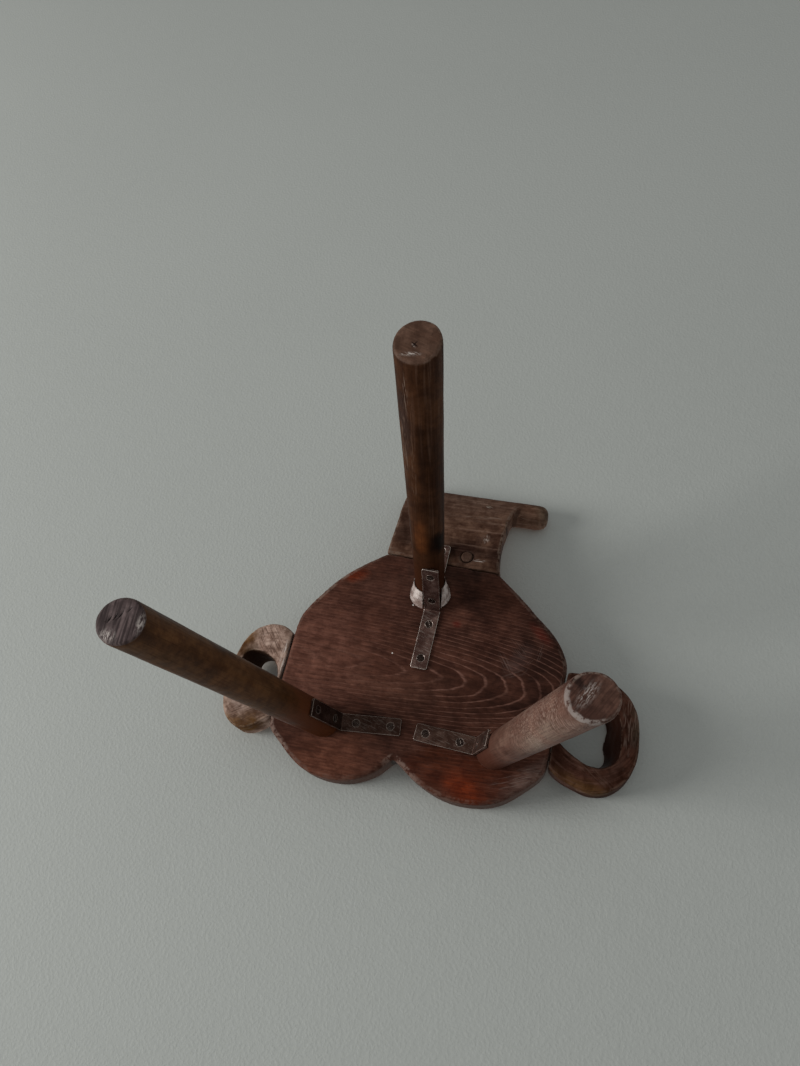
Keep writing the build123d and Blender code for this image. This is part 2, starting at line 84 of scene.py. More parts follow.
# Node trees are written as nested calls: each call adds one node and gives back its output socket
class Tree:
    def __init__(self, name):
        self.material = bpy.data.materials.new(name)
        self.material.use_nodes = True
        self.nodes = self.material.node_tree.nodes
        self.links = self.material.node_tree.links
        self.nodes.clear()

    def put(self, socket, value):
        """Links a socket to an output, or sets its value."""
        if isinstance(value, bpy.types.NodeSocket):
            self.links.new(value, socket)
        elif socket.type == "RGBA":
            socket.default_value = (*value, 1.0)
        else:
            socket.default_value = value

    def add(self, kind, inputs=None, settings=None, output=0):
        """Adds a node with its inputs and settings."""
        node = self.nodes.new(kind)
        for key, value in (settings or {}).items():
            setattr(node, key, value)
        for key, value in (inputs or {}).items():
            self.put(node.inputs[key], value)
        return node.outputs[output]

    def math(self, operation, *values):
        return self.add("ShaderNodeMath", dict(enumerate(values)), {"operation": operation})

    def vector(self, operation, *values, output=0):
        return self.add("ShaderNodeVectorMath", dict(enumerate(values)), {"operation": operation}, output)

    def length(self, vector):
        return self.vector("LENGTH", vector, output=1)

    def dot(self, a, b):
        return self.vector("DOT_PRODUCT", a, b, output=1)

    def product(self, first, *others):
        """Multiplies values, one after the other."""
        for value in others:
            first = self.math("MULTIPLY", first, value)
        return first

    def swing(self, value, size):
        """Turns a noise from 0 to 1 into a swing to both sides of 0."""
        return self.product(self.math("SUBTRACT", value, 0.5), size)

    def place(self):
        """The point on the surface, in metres, in the object's own frame."""
        return self.add("ShaderNodeTexCoord", output="Object")

    def geometry(self, name):
        return self.add("ShaderNodeNewGeometry", output=name)

    def combine(self, x, y, z):
        return self.add("ShaderNodeCombineXYZ", {"X": x, "Y": y, "Z": z})

    def split(self, vector):
        node = self.nodes.new("ShaderNodeSeparateXYZ")
        self.put(node.inputs[0], vector)
        return node.outputs[0], node.outputs[1], node.outputs[2]

    def noise(self, vector, scale, detail=3.0, roughness=0.55, distortion=0.0):
        return self.add("ShaderNodeTexNoise", {
            "Vector": vector, "Scale": scale, "Detail": detail, "Roughness": roughness,
            "Distortion": distortion})

    def stretched(self, vector, scales, detail=3.0, roughness=0.55):
        """Noise with a scale for each axis."""
        return self.noise(self.vector("MULTIPLY", vector, scales), 1.0, detail, roughness)

    def spread(self, value, low, high, to_low=0.0, to_high=1.0):
        """Maps a value from one range to another, smoothly and clamped."""
        return self.add("ShaderNodeMapRange", {
            "Value": value, "From Min": low, "From Max": high, "To Min": to_low, "To Max": to_high},
            {"interpolation_type": "SMOOTHSTEP", "clamp": True})

    def mix(self, factor, a, b, blend="MIX"):
        """Mixes two colours."""
        settings = {"data_type": "RGBA", "blend_type": blend, "clamp_factor": True}
        return self.add("ShaderNodeMix", {0: factor, 6: a, 7: b}, settings, 2)

    def tint(self, factor, color, tint):
        """Multiplies a colour by a tint."""
        return self.mix(factor, color, tint, "MULTIPLY")

    def frame(self, direction, origin):
        """Coordinates in metres with X along a direction, from an origin."""
        along = Vector(direction).normalized()
        side = Vector((0, 0, 1)).cross(along)
        if side.length < steep:
            side = Vector((0, 1, 0)).cross(along)
        side.normalize()
        point = self.vector("SUBTRACT", self.place(), tuple(origin))
        axes = (along, side, along.cross(side))
        return self.combine(*[self.dot(point, tuple(axis)) for axis in axes])

    def spot(self, place, size, direction=(1, 0, 0), warp=None, solid=0.35):
        """A spot of 1 at a place that fades to 0 at its size, longest along a direction."""
        length = self.length(self.vector("DIVIDE", self.frame(direction, place), size))
        if warp is not None:
            length = self.math("ADD", length, self.swing(warp, spot_warp))
        return self.spread(length, solid, 1.0, 1.0, 0.0)

    def paint(self, color, marks, warp, solid, texture=None):
        """Lays marks on a colour: each has a place, size, direction, colour and strength."""
        for place, size, direction, tint, strength in marks:
            amount = self.product(self.spot(place, size, direction, warp, solid), strength)
            if texture is not None:
                amount = self.product(amount, texture(direction))
            color = self.mix(amount, color, tint)
        return color

    def inner_wall(self, middle, reach):
        """1 on walls that face a vertical line through a middle, near it."""
        inward = self.vector("MULTIPLY", self.vector("SUBTRACT", middle, self.place()), (1, 1, 0))
        facing = self.dot(self.vector("NORMALIZE", inward), self.geometry("Normal"))
        near = self.spread(self.length(inward), inner_fade * reach, reach, 1.0, 0.0)
        return self.product(self.spread(facing, *inner_facing), near)

    def scratches(self, direction, fine, long, low, high):
        """Thin lines of 1 that run along a direction."""
        lines = self.stretched(self.frame(direction, (0, 0, 0)), (long, fine, fine), detail=1.5)
        return self.spread(lines, low, high)

    def bump(self, height, distance, strength=1.0, normal=None):
        inputs = {"Height": height, "Distance": distance, "Strength": strength}
        if normal is not None:
            inputs["Normal"] = normal
        return self.add("ShaderNodeBump", inputs)

    def surface(self, shader):
        end = self.nodes.new("ShaderNodeOutputMaterial")
        self.links.new(shader, end.inputs["Surface"])
        return self.material


def principled(tree, color, roughness, normal, specular=0.5, metallic=0.0, coat=0.0, coat_roughness=0.3):
    return tree.add("ShaderNodeBsdfPrincipled", {
        "Base Color": color, "Roughness": roughness, "Normal": normal, "Specular IOR Level": specular,
        "Metallic": metallic, "Coat Weight": coat, "Coat Roughness": coat_roughness})


def shade(color, amount):
    return tuple(amount * c for c in color)


# Stage: the floor that the stool stands on, and the floor that it lay on upside down in the photograph, which
# shows only where it is looked at from under the first one
floor_height = -0.2 * MM
floor_size = 12.0
fade_start = 0.5
fade_end = 1.8
photo_floor_height = 0.407
photo_floor_slope = 0.094
photo_floor_start = -0.2056
photo_floor_size = 4.4
floor_color = (0.345, 0.358, 0.338)
backdrop_color = (0.335, 0.347, 0.335)
ambient_color = (0.42, 0.43, 0.43)


def floor_material(name, seen):
    tree = Tree(name)
    place = tree.place()
    speckle = tree.noise(place, scale=70.0, detail=4.0)
    cloud = tree.noise(place, scale=1.6, detail=2.0)
    dimple = tree.noise(place, scale=260.0, detail=2.0)
    color = tree.mix(tree.spread(speckle, 0.3, 0.7, 0.0, 0.3), floor_color, shade(floor_color, 0.93))
    color = tree.mix(tree.spread(cloud, 0.3, 0.7, 0.0, 0.4), color, shade(floor_color, 1.05))
    normal = tree.bump(tree.spread(dimple, 0.35, 0.75), 0.5 * MM, strength=0.4)
    front = principled(tree, color, 0.7, normal, specular=0.2)
    clear = tree.add("ShaderNodeBsdfTransparent")
    return tree.surface(tree.add("ShaderNodeMixShader", {0: seen(tree, place), 1: clear, 2: front}))


def seen_from_above(tree, place):
    """1 on the upper side, fading out far from the stool."""
    near = tree.spread(tree.length(place), fade_start, fade_end, 1.0, 0.0)
    return tree.product(tree.math("SUBTRACT", 1.0, tree.geometry("Backfacing")), near)


def seen_through_floor(tree, place):
    """1 for rays that have come through the other floor."""
    crossed = tree.add("ShaderNodeLightPath", output="Transparent Depth")
    return tree.math("GREATER_THAN", crossed, 0.5)


def make_floor(name, size, height, slope, upward, material):
    half = size / 2
    points = []
    for x, y in ((-half, -half), (half, -half), (half, half), (-half, half)):
        points.append((x, y, height + slope * (y - photo_floor_start)))
    if not upward:
        points.reverse()
    mesh = bpy.data.meshes.new(name)
    mesh.from_pydata(points, [], [(0, 1, 2, 3)])
    mesh.materials.append(material)
    floor = bpy.data.objects.new(name, mesh)
    bpy.context.scene.collection.objects.link(floor)
    floor.visible_shadow = False
    floor.visible_diffuse = False
    floor.visible_glossy = upward


make_floor("floor", floor_size, floor_height, 0.0, True, floor_material("floor", seen_from_above))
make_floor("photo_floor", photo_floor_size, photo_floor_height, photo_floor_slope, False,
           floor_material("photo_floor", seen_through_floor))


# Soft lamps: a wide one at the photograph's left, low over its floor, with a weak fill, and two weaker ones
# that light the upright stool from above
seat_middle = (0.0, -0.03, 0.36)
# name, place, size, power, colour, and whether it shows in gloss
lamps = [
    ("photo_key", (4.0, -1.0, -1.6), 2.2, 175.0, (1.0, 0.99, 0.975), True),
    ("photo_fill", (-0.3, -0.2, -1.4), 1.4, 2.5, (0.98, 0.99, 1.0), True),
    ("room_key", (0.35, -0.6, 2.2), 1.6, 18.0, (1.0, 0.985, 0.96), False),
    ("room_fill", (-0.8, 0.9, 1.9), 1.6, 9.0, (0.96, 0.98, 1.0), False),
]


def make_lamp(name, place, size, power, color, glossy):
    data = bpy.data.lights.new(name, "AREA")
    data.shape = "DISK"
    data.size = size
    data.energy = power
    data.color = color
    lamp = bpy.data.objects.new(name, data)
    aim = Vector(seat_middle) - Vector(place)
    lamp.rotation_mode = "QUATERNION"
    lamp.rotation_quaternion = aim.to_track_quat("-Z", "Y")
    lamp.location = place
    lamp.visible_camera = False
    lamp.visible_glossy = glossy
    bpy.context.scene.collection.objects.link(lamp)


for lamp in lamps:
    make_lamp(*lamp)


def make_world():
    """Ambient light on the object, and a plain backdrop for the camera, gloss and glass."""
    world = bpy.data.worlds.new("world")
    world.use_nodes = True
    nodes, links = world.node_tree.nodes, world.node_tree.links
    nodes.clear()
    light = nodes.new("ShaderNodeBackground")
    light.inputs["Color"].default_value = (*ambient_color, 1.0)
    seen = nodes.new("ShaderNodeBackground")
    seen.inputs["Color"].default_value = (*backdrop_color, 1.0)
    path = nodes.new("ShaderNodeLightPath")
    total = path.outputs["Is Camera Ray"]
    for name in ("Is Glossy Ray", "Is Transmission Ray"):
        either = nodes.new("ShaderNodeMath")
        either.operation = "MAXIMUM"
        links.new(total, either.inputs[0])
        links.new(path.outputs[name], either.inputs[1])
        total = either.outputs[0]
    mix = nodes.new("ShaderNodeMixShader")
    out = nodes.new("ShaderNodeOutputWorld")
    links.new(total, mix.inputs[0])
    links.new(light.outputs[0], mix.inputs[1])
    links.new(seen.outputs[0], mix.inputs[2])
    links.new(mix.outputs[0], out.inputs["Surface"])
    bpy.context.scene.world = world


make_world()
bpy.context.scene.view_settings.view_transform = "Standard"


# Meshes: the seat, back, loops, legs, pins and filler are fine copies of their CAD nodes, softened and a
# little uneven, as hand work is. Wear is how far a point stands out from a smoothed copy: 1 on sharp edges
# and -1 in creases
smooth_rate = 0.5
wear_steps = 10
wear_rate = 0.6
wear_lump = 12 * MM
seed_steps = (1.7, 2.3, 3.1)


def neighbour_mean(mesh, points):
    """Mean position of each vertex's neighbours."""
    edges = np.empty(len(mesh.edges) * 2, np.int64)
    mesh.edges.foreach_get("vertices", edges)
    a, b = edges[0::2], edges[1::2]
    total = np.zeros_like(points)
    count = np.zeros(len(points))
    np.add.at(total, a, points[b])
    np.add.at(total, b, points[a])
    np.add.at(count, a, 1)
    np.add.at(count, b, 1)
    return total / np.maximum(count, 1)[:, None]


def relax(mesh, points, steps, rate):
    """Moves each point towards the mean of its neighbours, some steps over."""
    points = points.copy()
    for _ in range(steps):
        points += rate * (neighbour_mean(mesh, points) - points)
    return points


def vertex_points(mesh):
    points = np.empty(len(mesh.vertices) * 3)
    mesh.vertices.foreach_get("co", points)
    return points.reshape(-1, 3)


def vertex_normals(mesh):
    normals = np.empty(len(mesh.vertices) * 3)
    mesh.vertex_normals.foreach_get("vector", normals)
    return normals.reshape(-1, 3)


def field(points, size, seed):
    """Smooth noise from 0 to 1 at each point, with lumps of the given size."""
    offset = Vector([seed * step for step in seed_steps])
    return np.array([0.5 + 0.5 * noise.noise(Vector(point) / size + offset) for point in points])


def fine_copy(node, voxel):
    """A new object with a CAD node's shape in a fine, even mesh."""
    piece = bpy.data.objects.new("carved_" + node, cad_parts[node].data.copy())
    bpy.context.scene.collection.objects.link(piece)
    piece.data.materials.clear()
    remesh = piece.modifiers.new("remesh", "REMESH")
    remesh.mode = "VOXEL"
    remesh.voxel_size = voxel
    graph = bpy.context.evaluated_depsgraph_get()
    mesh = bpy.data.meshes.new_from_object(piece.evaluated_get(graph))
    piece.modifiers.clear()
    piece.data = mesh
    return piece


def lump(points, place, reach, depth, size, seed):
    """Depth of uneven knife cuts round a place."""
    near = np.clip(1 - np.linalg.norm(points - np.array(place), axis=1) / reach, 0, 1)
    return depth * np.sqrt(near) * field(points, size, seed)


def dent(points, place, direction, length, width, depth):
    """Depth of one gouge along a direction."""
    offset = points - np.array(place)
    axis = np.array(Vector(direction).normalized())
    along = offset @ axis
    aside = np.linalg.norm(offset - along[:, None] * axis, axis=1)
    return depth * np.clip(1 - (along / length) ** 2 - (aside / width) ** 2, 0, 1)


def carve(node, voxel=2.0 * MM, smooth=2, soften=0.6 * MM, waves=0.5 * MM, wave_size=45 * MM,
          tool=0.15 * MM, tool_size=9 * MM, edge=0.6 * MM, lumps=(), dents=(), seed=1):
    """Replaces a CAD node by a fine copy with softened edges, waves, tool marks and a wear attribute."""
    piece = fine_copy(node, voxel)
    mesh = piece.data
    points = relax(mesh, vertex_points(mesh), smooth, smooth_rate)
    mesh.vertices.foreach_set("co", points.ravel())
    mesh.update()
    normals = vertex_normals(mesh)
    bulge = ((points - relax(mesh, points, wear_steps, wear_rate)) * normals).sum(1)
    wear = np.clip(bulge / soften, -1, 1)
    depth = waves * field(points, wave_size, seed) + tool * field(points, tool_size, seed + 3)
    depth += edge * np.clip(wear, 0, 1) * field(points, wear_lump, seed + 5)
    for one in lumps:
        depth += lump(points, *one, seed + 9)
    for one in dents:
        depth += dent(points, *one)
    points = points - normals * depth[:, None]
    mesh.vertices.foreach_set("co", points.ravel())
    mesh.attributes.new("wear", "FLOAT", "POINT").data.foreach_set("value", wear)
    mesh.polygons.foreach_set("use_smooth", [True] * len(mesh.polygons))
    mesh.update()
    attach(piece, "root")
    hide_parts(node)
    return piece


# The gouges in the right leg's foot: place, direction, length, width and depth
foot_gouges = [
    ((0.2308, -0.1600, 0.0), (-0.30, 1, 0), 6 * MM, 1.7 * MM, 1.2 * MM),
    ((0.2262, -0.1575, 0.0), (-0.38, 1, 0), 4 * MM, 1.7 * MM, 1.2 * MM),
    ((0.2218, -0.1550, 0.0), (-0.42, 1, 0), 6 * MM, 1.7 * MM, 1.2 * MM),
    ((0.2150, -0.1490, 0.0), (-0.60, 1, 0), 4 * MM, 1.5 * MM, 1.0 * MM),
]
carved = {
    "seat_board": carve("seat_board", seed=1),
    "curved_back": carve("curved_back", waves=0.8 * MM, seed=2),
    "loop_left": carve("loop_left", voxel=1.6 * MM, waves=1.2 * MM, tool=0.5 * MM, seed=3,
                       lumps=[((-0.199, -0.100, 0.372), 0.045, 5.0 * MM, 15 * MM)]),
    "loop_right": carve("loop_right", voxel=1.6 * MM, waves=1.2 * MM, tool=0.6 * MM, seed=4,
                        lumps=[((0.217, -0.110, 0.368), 0.035, 3.0 * MM, 10 * MM)]),
    "leg_left": carve("leg_left", voxel=1.6 * MM, seed=5),
    "leg_right": carve("leg_right", voxel=1.3 * MM, seed=6, dents=foot_gouges),
    "leg_back": carve("leg_back", voxel=1.6 * MM, seed=7),
    "back_pins": carve("back_pins", voxel=0.8 * MM, smooth=1, soften=1.5 * MM, waves=-1.1 * MM,
                       wave_size=20 * MM, tool=0.1 * MM, edge=0.2 * MM, seed=9),
    "filler_collar": carve("filler_collar", voxel=0.8 * MM, smooth=4, waves=1.2 * MM,
                           wave_size=11 * MM, tool=0.3 * MM, tool_size=4 * MM, seed=8),
}


# Wood: each board or leg has its own grain, stain, patches and scratches, and all share worn edges and dark
# creases, which are dirt with painted shade.
# Pairs are the values of a noise or of the wear between which a mark comes in
fleck_range = (0.62, 0.76)
fleck_amount = 0.45
fleck_depth = 0.3
ragged_depth = 0.4
full_wear = 0.95
rub_range = (0.40, 0.58)
rub_cloud = (0.38, 0.6)
least_rub = 0.2
least_high_rub = 0.15
rim_wear = (0.2, 0.65)
rim_range = (0.40, 0.56)
rim_solid = 0.5
crease_range = (-0.6, -0.15)
crease_amount = 0.7
gloss_range = (0.7, 1.4)
gloss_below = 0.08
gloss_above = 0.14
stain_range = (0.32, 0.68)
fibre_scales = (22.0, 520.0, 520.0)
fibre_amount = 0.5
patch_solid = 0.1
scuff_solid = 0.2
dim_tint = (0.5, 0.43, 0.4)


def finish_wood(tree, color, dark, fibre, cloud, height, worn, wear_amount=0.6, wear_low=0.4, roughness=0.6,
                relief=0.25 * MM, specular=0.06, crease=(0.008, 0.004, 0.003), rub_height=None,
                bright_rims=()):
    """Adds flecks, pale worn edges, any given rims (worn edges with a painted highlight) and dark creases
    (dirt with painted shade) to a wood colour, and makes its surface.
    """
    place = tree.place()
    wear = tree.add("ShaderNodeAttribute", None, {"attribute_name": "wear"}, "Fac")
    fleck = tree.noise(place, scale=430.0, detail=2.0)
    ragged = tree.noise(place, scale=170.0, detail=4.0, roughness=0.65)
    uneven = tree.noise(place, scale=17.0, detail=3.0)
    color = tree.mix(tree.spread(fleck, *fleck_range, 0.0, fleck_amount), color, shade(dark, 0.3))
    rub = tree.product(tree.spread(wear, wear_low, full_wear), tree.spread(ragged, *rub_range),
                       tree.spread(uneven, *rub_cloud, least_rub, 1.0))
    if rub_height is not None:
        rub = tree.product(rub, tree.spread(tree.split(place)[2], *rub_height, 1.0, least_high_rub))
    color = tree.mix(tree.product(rub, wear_amount), color, worn)
    # Rims on the sides facing the key lamp: pale worn edges with a painted highlight
    if bright_rims:
        rim = tree.product(tree.spread(wear, *rim_wear), tree.spread(ragged, *rim_range))
        color = tree.paint(color, bright_rims, None, rim_solid, lambda direction: rim)
    # Creases are darkened: dirt with painted shade
    color = tree.mix(tree.spread(wear, *crease_range, crease_amount, 0.0), color, crease)
    height = tree.math("ADD", height, tree.product(ragged, ragged_depth))
    height = tree.math("SUBTRACT", height, tree.product(tree.spread(fleck, *fleck_range), fleck_depth))
    gloss = tree.spread(tree.math("ADD", fibre, cloud), *gloss_range, roughness - gloss_below,
                        roughness + gloss_above)
    return tree.surface(principled(tree, color, gloss, tree.bump(height, relief), specular=specular))


# Seat board: one board sawn beside its pith, which runs along X outside it, ring_product / (x + ring_reach)
# below the underside. So the rings are nested arches there, which point to -X and open to +X
ring_axis_y = -69.9 * MM
ring_reach = 0.407
ring_product = 0.01553
ring_spacing = 3.82 * MM
ring_first = 35.9 * MM
ring_shift = 20.15
ring_bend = 5.0 * MM
ring_jitter = 1.6 * MM
bend_scales = (7.0, 18.0, 18.0)
jitter_scales = (25.0, 120.0, 120.0)
ring_tips = (-0.06, -0.08, 0.362)
ring_tips_size = (0.16, 0.10, 0.2)
golden_share = 0.618
line_rise = (0.0, 0.09)
line_fall = (0.12, 0.26)
darkening = (0.3, 1.0)
least_clear = 0.24
clearer_rings = 0.32
clearer_tips = 0.62
clear_back = (-0.01, 0.06)
clear_front = (-0.18, -0.13)
far_clear = 0.3
broken_lines = (0.25, 0.6)
least_line = 0.35
seat_underside = 0.362
wall_start = seat_underside + 3 * MM
wall_end = seat_underside + 9 * MM
wall_facing = (-0.55, -0.2)
wall_amount = 0.5

seat_streak_scales = (6.0, 75.0, 75.0)
seat_streaks = (0.42, 0.68)
seat_streak_amount = 0.35
late_amount = 0.35
seat_mottle = (0.36, 0.66)
seat_mottle_amount = 0.6
grime_scales = (70.0, 230.0, 230.0)
dark_grime = (0.38, 0.54)
dark_grime_amount = 0.55
pale_grime = (0.54, 0.72)
pale_grime_amount = 0.3
seat_dark_fibres = (0.45, 0.75)
seat_pale_fibres = (0.40, 0.25)

seat_dark = (0.043, 0.0160, 0.0100)
seat_light = (0.092, 0.0355, 0.0225)
seat_line = (0.172, 0.083, 0.061)
seat_worn = (0.125, 0.078, 0.060)
orange = (0.170, 0.026, 0.0050)
ember = (0.092, 0.0200, 0.0070)
seat_fibre = (0.105, 0.052, 0.040)
seat_speck = (0.6, 0.56, 0.52)
seat_wall = (0.075, 0.043, 0.031)
streak_tint = (0.6, 0.52, 0.5)
late_tint = (0.62, 0.52, 0.5)
grime_tint = (0.45, 0.38, 0.35)
pale_tint = (1.7, 1.6, 1.5)
# Marks on wood: place, size, direction, colour and strength
seat_patches = [
    # The first four marks make the seat lighter towards +X and darker towards -X: partly stain, partly
    # painted light from the key lamp's side
    ((0.15, -0.06, 0.362), (0.12, 0.11, 0.03), (1, 0, 0), (0.158, 0.066, 0.045), 0.85),
    ((0.035, -0.090, 0.362), (0.09, 0.040, 0.03), (1, 0, 0), (0.120, 0.052, 0.034), 0.8),
    ((0.085, 0.03, 0.362), (0.07, 0.035, 0.03), (1, 0, 0), (0.095, 0.041, 0.028), 0.6),
    ((-0.13, -0.045, 0.362), (0.065, 0.075, 0.03), (1, 0, 0), (0.023, 0.0090, 0.006), 0.85),
    ((-0.02, -0.02, 0.362), (0.05, 0.03, 0.03), (1, 0, 0), (0.040, 0.0155, 0.010), 0.6),
    ((0.02, 0.06, 0.362), (0.07, 0.03, 0.03), (1, 0, 0), (0.058, 0.031, 0.022), 0.5),
    ((-0.06, 0.045, 0.362), (0.06, 0.035, 0.03), (1, 0, 0), (0.050, 0.018, 0.010), 0.6),
    ((0.105, -0.195, 0.362), (0.08, 0.055, 0.03), (1, 0, 0), (0.150, 0.056, 0.033), 0.85),
    ((-0.065, -0.185, 0.362), (0.085, 0.045, 0.03), (1, 0, 0), ember, 0.85),
    ((-0.066, -0.197, 0.362), (0.036, 0.022, 0.03), (1, 0.2, 0), orange, 0.95),
    ((-0.030, -0.165, 0.362), (0.030, 0.022, 0.03), (1, 0, 0), (0.066, 0.017, 0.006), 0.7),
    ((0.126, 0.047, 0.362), (0.026, 0.014, 0.03), (-1, 0.4, 0), orange, 0.85),
    ((-0.022, 0.002, 0.362), (0.010, 0.008, 0.02), (1, 0, 0), (0.105, 0.014, 0.008), 0.8),
    ((-0.130, 0.004, 0.362), (0.022, 0.008, 0.02), (-1, -0.8, 0), (0.085, 0.014, 0.008), 0.75),
    ((-0.139, -0.172, 0.362), (0.052, 0.017, 0.03), (-0.75, 0.8, 0), (0.125, 0.080, 0.066), 0.85),
    ((0.060, -0.135, 0.362), (0.035, 0.012, 0.03), (1, 0, 0), (0.022, 0.009, 0.006), 0.6),
    # These two dark marks, by the back's joint and beside the back leg's bracket, are stain with painted
    # shadow
    ((-0.030, 0.075, 0.362), (0.075, 0.022, 0.03), (1, 0.1, 0), (0.022, 0.0095, 0.0065), 0.75),
    ((-0.040, 0.035, 0.362), (0.035, 0.020, 0.03), (1, 0.8, 0), (0.026, 0.0100, 0.0065), 0.7),
    ((0.115, -0.150, 0.362), (0.030, 0.012, 0.03), (1, 0.2, 0), (0.024, 0.0100, 0.0065), 0.6),
    ((-0.075, -0.150, 0.362), (0.035, 0.010, 0.03), (1, -0.2, 0), (0.020, 0.0080, 0.0055), 0.7),
    ((-0.106, -0.036, 0.362), (0.034, 0.018, 0.02), (-0.5, 0.85, 0), (0.088, 0.049, 0.041), 0.75),
    ((-0.010, -0.060, 0.400), (0.150, 0.090, 0.02), (1, 0, 0), (0.140, 0.062, 0.040), 0.7),
    ((0.010, -0.150, 0.400), (0.090, 0.040, 0.02), (1, 0, 0), (0.060, 0.026, 0.017), 0.7),
]
seat_scuffs = [
    ((-0.092, -0.040, 0.362), (0.022, 0.007, 0.02), (-0.6, -0.8, 0), (0.135, 0.090, 0.076), 0.5),
    ((-0.104, -0.050, 0.362), (0.018, 0.009, 0.02), (-0.9, 0.45, 0), (0.130, 0.085, 0.072), 0.6),
    ((-0.118, -0.036, 0.362), (0.026, 0.005, 0.02), (-0.55, 0.85, 0), (0.140, 0.095, 0.081), 0.55),
    ((-0.130, -0.020, 0.362), (0.024, 0.006, 0.02), (-0.2, 1, 0), (0.130, 0.088, 0.075), 0.65),
    ((-0.104, -0.016, 0.362), (0.022, 0.012, 0.02), (0.75, 0.65, 0), (0.110, 0.072, 0.060), 0.5),
    ((-0.133, -0.174, 0.362), (0.05, 0.016, 0.03), (-0.9, 0.4, 0), (0.19, 0.14, 0.12), 0.35),
]
# Pale rims on the lobes' edges that face the key lamp: worn edges with a painted highlight
seat_worn_highlight_rims = [
    ((0.008, -0.195, 0.366), (0.050, 0.018, 0.02), (-1, -0.9, 0), (0.140, 0.090, 0.072), 0.7),
    ((0.175, -0.180, 0.366), (0.045, 0.020, 0.02), (-0.5, -1, 0), (0.150, 0.098, 0.078), 0.75),
    ((-0.120, -0.215, 0.366), (0.060, 0.020, 0.02), (-1, 0.7, 0), (0.12, 0.085, 0.07), 0.6),
    ((0.150, 0.030, 0.366), (0.060, 0.018, 0.02), (-0.6, 0.8, 0), (0.16, 0.11, 0.085), 0.5),
]
# place and radius
seat_specks = [((0.0396, 0.018, 0.362), 0.0016), ((0.0525, -0.050, 0.362), 0.0014)]


def growth_rings(tree, place, mottle):
    """The pale lines between the seat's growth rings, and how far each ring has darkened."""
    x, y, z = tree.split(place)
    bend = tree.stretched(place, bend_scales, detail=2.0)
    jitter = tree.stretched(place, jitter_scales, detail=2.0)
    across = tree.math("SUBTRACT", y, ring_axis_y)
    depth = tree.math("DIVIDE", ring_product, tree.math("ADD", x, ring_reach))
    depth = tree.math("ADD", depth, tree.math("SUBTRACT", z, seat_underside))
    radius = tree.math("SQRT", tree.math("MULTIPLY_ADD", across, across, tree.product(depth, depth)))
    radius = tree.math("ADD", radius, tree.swing(bend, ring_bend))
    radius = tree.math("ADD", radius, tree.swing(jitter, ring_jitter))
    ring = tree.math("DIVIDE", tree.math("SUBTRACT", radius, ring_first), ring_spacing)
    phase = tree.math("FRACT", tree.math("ADD", ring, ring_shift))
    line = tree.product(tree.spread(phase, *line_rise), tree.spread(phase, *line_fall, 1.0, 0.0))
    darkened = tree.spread(phase, *darkening)
    # the lines show best at the arches' tips, better on some rings, and less at the back and front
    near_tips = tree.spot(ring_tips, ring_tips_size, solid=0.1)
    which = tree.math("FRACT", tree.product(tree.math("FLOOR", ring), golden_share))
    clear = tree.math("MULTIPLY_ADD", which, clearer_rings, least_clear)
    clear = tree.math("MULTIPLY_ADD", near_tips, clearer_tips, clear)
    clear = tree.product(clear, tree.product(tree.spread(y, *clear_back, 1.0, far_clear),
                                             tree.spread(y, *clear_front, far_clear, 1.0)))
    clear = tree.product(clear, tree.spread(mottle, *broken_lines, least_line, 1.0))
    return tree.product(line, clear), darkened


def seat_material():
    tree = Tree("seat_wood")
    place = tree.place()
    z = tree.split(place)[2]
    cloud = tree.noise(place, scale=15.0, detail=4.0, roughness=0.62, distortion=0.3)
    mottle = tree.noise(place, scale=60.0, detail=4.0, roughness=0.65)
    line, darkened = growth_rings(tree, place, mottle)
    fibre = tree.stretched(place, fibre_scales, detail=4.0, roughness=0.6)
    streak = tree.stretched(place, seat_streak_scales, detail=3.0, roughness=0.55)
    grime = tree.stretched(place, grime_scales, detail=4.0, roughness=0.65)

    color = tree.mix(tree.spread(cloud, *stain_range), seat_dark, seat_light)
    color = tree.paint(color, seat_patches, cloud, patch_solid)
    color = tree.tint(tree.spread(streak, *seat_streaks, 0.0, seat_streak_amount), color, streak_tint)
    color = tree.tint(tree.product(darkened, late_amount), color, late_tint)
    color = tree.mix(line, color, seat_line)
    color = tree.tint(tree.spread(mottle, *seat_mottle, seat_mottle_amount, 0.0), color, dim_tint)
    color = tree.tint(tree.spread(grime, *dark_grime, dark_grime_amount, 0.0), color, grime_tint)
    color = tree.tint(tree.spread(grime, *pale_grime, 0.0, pale_grime_amount), color, pale_tint)
    dark_fibre = tree.spread(fibre, *seat_dark_fibres, 0.0, fibre_amount)
    color = tree.mix(dark_fibre, color, shade(seat_dark, 0.6))
    pale_fibre = tree.product(tree.spread(fibre, *seat_pale_fibres), tree.spread(cloud, 0.4, 0.7, 0.1, 0.45))
    color = tree.mix(pale_fibre, color, seat_fibre)
    color = tree.paint(color, seat_scuffs, mottle, scuff_solid,
                       lambda direction: tree.scratches(direction, 1100.0, 45.0, low=0.52, high=0.62))
    for speck_place, radius in seat_specks:
        color = tree.mix(tree.spot(speck_place, (radius, radius, radius)), color, seat_speck)
    wall = tree.spread(tree.split(tree.geometry("Normal"))[2], *wall_facing)
    wall = tree.product(wall, tree.spread(z, wall_start, wall_end))
    color = tree.mix(tree.product(wall, wall_amount), color, seat_wall)
    height = tree.math("ADD", tree.product(fibre, 0.5), tree.product(line, 0.5))
    return finish_wood(tree, color, seat_dark, fibre, cloud, height, seat_worn, wear_amount=0.55,
                       rub_height=(0.372, 0.390), bright_rims=seat_worn_highlight_rims)


# Plain boards, loops, legs and pegs: streaks along a direction, or round a loop's middle, over mottled stain
dark_streaks = (0.5, 0.7)
pale_streaks = (0.46, 0.3)
blotch_range = (0.36, 0.62)
dark_fibres = (0.48, 0.75)


